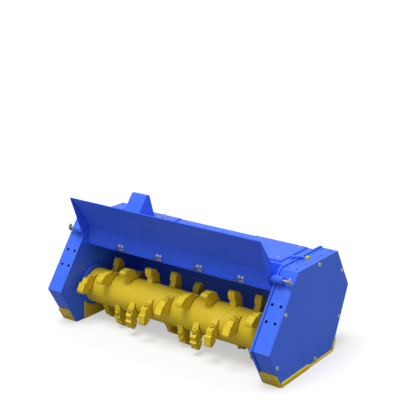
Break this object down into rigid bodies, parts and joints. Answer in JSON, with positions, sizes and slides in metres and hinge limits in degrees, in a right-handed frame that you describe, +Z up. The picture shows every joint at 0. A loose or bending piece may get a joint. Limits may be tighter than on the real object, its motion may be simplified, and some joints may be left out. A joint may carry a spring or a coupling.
{
  "type": "mulcher head",
  "caption": "Brush mulching head with a toothed rotor between two end boxes, a cross beam with a bolt-on hitch deck, skids, and a hinged front flap.",
  "frame": {"origin": "on the ground, midway between the two skids and midway from front to rear", "axes": "+X along the rotor, +Z up, the open front with its hinged flap faces -Y"},
  "size_m": [1.806, 1.0095, 0.9249],
  "materials": {
    "blue_enamel": "gloss",
    "yellow_enamel": "gloss",
    "zinc_steel": "satin",
    "motor_iron": "matte"
  },
  "bodies": {
    "housing": {"beam_deck": "blue_enamel", "bearing_flange_left": "blue_enamel", "bearing_flange_right": "blue_enamel", "end_band_left": "blue_enamel", "end_band_right": "blue_enamel", "end_cover_left": "blue_enamel", "end_cover_right": "blue_enamel", "grease_bracket_left": "blue_enamel", "grease_bracket_right": "blue_enamel", "grease_cap_left": "yellow_enamel", "grease_cap_right": "yellow_enamel", "hinge_knuckles": "zinc_steel", "hood_strip": "blue_enamel", "hose_tower": "blue_enamel", "hydraulic_motor": "motor_iron", "inner_plate_left": "blue_enamel", "inner_plate_right": "blue_enamel", "motor_cover": "blue_enamel", "pin_boss_left": "blue_enamel", "pin_boss_right": "blue_enamel", "port_fittings": "zinc_steel", "rear_skin": "blue_enamel", "service_cover": "blue_enamel", "skid_left": "yellow_enamel", "skid_right": "yellow_enamel", "wear_panel_left": "yellow_enamel", "wear_panel_right": "yellow_enamel"},
    "flap": {"flap_ear_left": "blue_enamel", "flap_ear_right": "blue_enamel", "flap_skin": "blue_enamel", "hinge_leaves": "zinc_steel"},
    "rotor": {"rotor_cutters": "yellow_enamel", "rotor_drum": "yellow_enamel"},
    "pin_left": {"lock_pin_left": "zinc_steel"},
    "pin_right": {"lock_pin_right": "zinc_steel"}
  },
  "joints": [
    {"name": "rotor_spin", "type": "hinge", "parent": "housing", "child": "rotor", "pos_m": [0, -0.159, 0.232], "axis": [1, 0, 0], "continuous": true},
    {"name": "flap_swing", "type": "hinge", "parent": "housing", "child": "flap", "pos_m": [0, -0.229, 0.572], "axis": [1, 0, 0], "range_deg": [0, 116]},
    {"name": "pin_left_slide", "type": "slide", "parent": "housing", "child": "pin_left", "axis": [1, 0, 0], "range_m": [0, 0.042]},
    {"name": "pin_right_slide", "type": "slide", "parent": "housing", "child": "pin_right", "axis": [-1, 0, 0], "range_m": [0, 0.042]}
  ]
}
